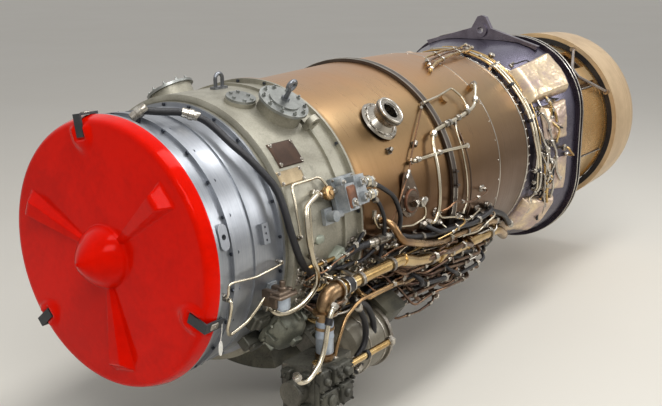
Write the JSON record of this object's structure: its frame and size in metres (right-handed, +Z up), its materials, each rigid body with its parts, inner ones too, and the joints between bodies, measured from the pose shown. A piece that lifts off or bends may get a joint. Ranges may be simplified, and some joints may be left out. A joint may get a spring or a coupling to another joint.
{
  "type": "turbofan jet engine",
  "caption": "Two-spool turbofan with a long bypass duct, reheat and a variable-area nozzle worked by a sliding sleeve; a moulded intake cover closes the front.",
  "frame": {"origin": "centre of the intake flange's front face", "axes": "+X along the engine's axis from intake to nozzle, +Z up, -Y the port side"},
  "size_m": [2.707, 0.8311, 1.041],
  "materials": {
    "red_moulding": "gloss, glass-fibre moulding",
    "black_rubber": "matt rubber and braided hose",
    "white_tag": "matt card on a steel wire",
    "fan_case_alloy": "satin blue-grey anodised alloy",
    "vane_alloy": "satin",
    "dark_steel": "dark oxide",
    "cast_casing": "grey-green treated casting",
    "cover_alloy": "satin machined alloy",
    "duct_titanium": "satin bronze-tan heat-tinted sheet",
    "port_steel": "satin",
    "plate_bronze": "grey-brown treated casting",
    "valve_paint": "satin blue-grey",
    "gold_tube": "satin gold-tinted tube",
    "silver_tube": "bright tube",
    "elbow_bronze": "brown heat-tinted tube",
    "gearbox_cast": "rough casting",
    "starter_paint": "pale grey-olive satin",
    "fairing_steel": "purple-grey heat-tinted sheet",
    "seal_dark": "dark aubergine heat-resisting paint",
    "foil": "stippled gold-bronze insulation foil",
    "hot_steel": "heat-stained",
    "ram_steel": "heat-stained",
    "core_alloy": "satin",
    "core_steel": "satin, heat-tinted",
    "rotor_titanium": "satin machined",
    "shaft_steel": "ground",
    "turbine_nickel": "cast nickel alloy",
    "nozzle_cream": "cream heat-resisting coating",
    "petal_steel": "heat-stained"
  },
  "bodies": {
    "engine": {"intake_cover": "red_moulding", "cover_straps": "black_rubber", "cover_tag": "white_tag", "intake_casing": "fan_case_alloy", "fan_casing": "fan_case_alloy", "fan_stators": "vane_alloy", "casing_bolts": "dark_steel", "intermediate_casing": "cast_casing", "pad_covers": "cover_alloy", "eye_bolts": "dark_steel", "front_duct": "duct_titanium", "duct_clamp": "dark_steel", "rear_duct": "duct_titanium", "bleed_port": "port_steel", "hatch_plate": "plate_bronze", "valve_block": "valve_paint", "black_hose": "black_rubber", "gold_pipe": "gold_tube", "oil_pipes": "gold_tube", "fuel_pipes": "silver_tube", "sense_pipes": "silver_tube", "belly_hoses": "black_rubber", "clamps": "port_steel", "air_elbow": "elbow_bronze", "gearbox": "gearbox_cast", "starter": "starter_paint", "fuel_pumps": "gearbox_cast", "rear_fairing": "fairing_steel", "seal_frame": "seal_dark", "rear_lug": "fairing_steel", "foil_boxes": "foil", "jet_pipe": "hot_steel", "jet_blanket": "foil", "ram_cylinders": "ram_steel", "compressor_casing": "core_alloy", "combustor_casing": "core_steel", "flame_tube": "hot_steel", "turbine_casing": "core_steel", "exhaust_cone": "hot_steel", "flameholder": "hot_steel", "bearings": "shaft_steel"},
    "low_spool": {"spinner": "rotor_titanium", "fan_stage_1": "rotor_titanium", "fan_stage_2": "rotor_titanium", "low_shaft": "shaft_steel", "low_turbine": "turbine_nickel"},
    "high_spool": {"high_compressor_rotor": "rotor_titanium", "high_turbine": "turbine_nickel"},
    "sleeve": {"nozzle_sleeve": "nozzle_cream", "nozzle_rods": "ram_steel"},
    "petal_1": {"petal_1": "petal_steel"},
    "petal_2": {"petal_2": "petal_steel"},
    "petal_3": {"petal_3": "petal_steel"},
    "petal_4": {"petal_4": "petal_steel"},
    "petal_5": {"petal_5": "petal_steel"},
    "petal_6": {"petal_6": "petal_steel"},
    "petal_7": {"petal_7": "petal_steel"},
    "petal_8": {"petal_8": "petal_steel"},
    "petal_9": {"petal_9": "petal_steel"},
    "petal_10": {"petal_10": "petal_steel"}
  },
  "joints": [
    {"name": "low_spin", "type": "hinge", "parent": "engine", "child": "low_spool", "pos_m": [0.44, 0, 0], "axis": [1, 0, 0], "continuous": true},
    {"name": "high_spin", "type": "hinge", "parent": "engine", "child": "high_spool", "pos_m": [0.6, 0, 0], "axis": [1, 0, 0], "continuous": true},
    {"name": "sleeve_slide", "type": "slide", "parent": "engine", "child": "sleeve", "axis": [-1, 0, 0], "range_m": [0, 0.06]},
    {"name": "petal_1_hinge", "type": "hinge", "parent": "engine", "child": "petal_1", "pos_m": [2.388, 0, 0.292], "axis": [0, -1, 0], "range_deg": [0, 13.1]},
    {"name": "petal_2_hinge", "type": "hinge", "parent": "engine", "child": "petal_2", "pos_m": [2.388, -0.17163, 0.23623], "axis": [0, -0.809, -0.5878], "range_deg": [0, 13.1]},
    {"name": "petal_3_hinge", "type": "hinge", "parent": "engine", "child": "petal_3", "pos_m": [2.388, -0.27771, 0.09023], "axis": [0, -0.309, -0.9511], "range_deg": [0, 13.1]},
    {"name": "petal_4_hinge", "type": "hinge", "parent": "engine", "child": "petal_4", "pos_m": [2.388, -0.27771, -0.09023], "axis": [0, 0.309, -0.9511], "range_deg": [0, 13.1]},
    {"name": "petal_5_hinge", "type": "hinge", "parent": "engine", "child": "petal_5", "pos_m": [2.388, -0.17163, -0.23623], "axis": [0, 0.809, -0.5878], "range_deg": [0, 13.1]},
    {"name": "petal_6_hinge", "type": "hinge", "parent": "engine", "child": "petal_6", "pos_m": [2.388, 0, -0.292], "axis": [0, 1, 0], "range_deg": [0, 13.1]},
    {"name": "petal_7_hinge", "type": "hinge", "parent": "engine", "child": "petal_7", "pos_m": [2.388, 0.17163, -0.23623], "axis": [0, 0.809, 0.5878], "range_deg": [0, 13.1]},
    {"name": "petal_8_hinge", "type": "hinge", "parent": "engine", "child": "petal_8", "pos_m": [2.388, 0.27771, -0.09023], "axis": [0, 0.309, 0.9511], "range_deg": [0, 13.1]},
    {"name": "petal_9_hinge", "type": "hinge", "parent": "engine", "child": "petal_9", "pos_m": [2.388, 0.27771, 0.09023], "axis": [0, -0.309, 0.9511], "range_deg": [0, 13.1]},
    {"name": "petal_10_hinge", "type": "hinge", "parent": "engine", "child": "petal_10", "pos_m": [2.388, 0.17163, 0.23623], "axis": [0, -0.809, 0.5878], "range_deg": [0, 13.1]}
  ],
  "couplings": [
    {"joint": "petal_1_hinge", "follows": "sleeve_slide", "rad_per_m": 3.7815},
    {"joint": "petal_2_hinge", "follows": "sleeve_slide", "rad_per_m": 3.7815},
    {"joint": "petal_3_hinge", "follows": "sleeve_slide", "rad_per_m": 3.7815},
    {"joint": "petal_4_hinge", "follows": "sleeve_slide", "rad_per_m": 3.7815},
    {"joint": "petal_5_hinge", "follows": "sleeve_slide", "rad_per_m": 3.7815},
    {"joint": "petal_6_hinge", "follows": "sleeve_slide", "rad_per_m": 3.7815},
    {"joint": "petal_7_hinge", "follows": "sleeve_slide", "rad_per_m": 3.7815},
    {"joint": "petal_8_hinge", "follows": "sleeve_slide", "rad_per_m": 3.7815},
    {"joint": "petal_9_hinge", "follows": "sleeve_slide", "rad_per_m": 3.7815},
    {"joint": "petal_10_hinge", "follows": "sleeve_slide", "rad_per_m": 3.7815}
  ]
}
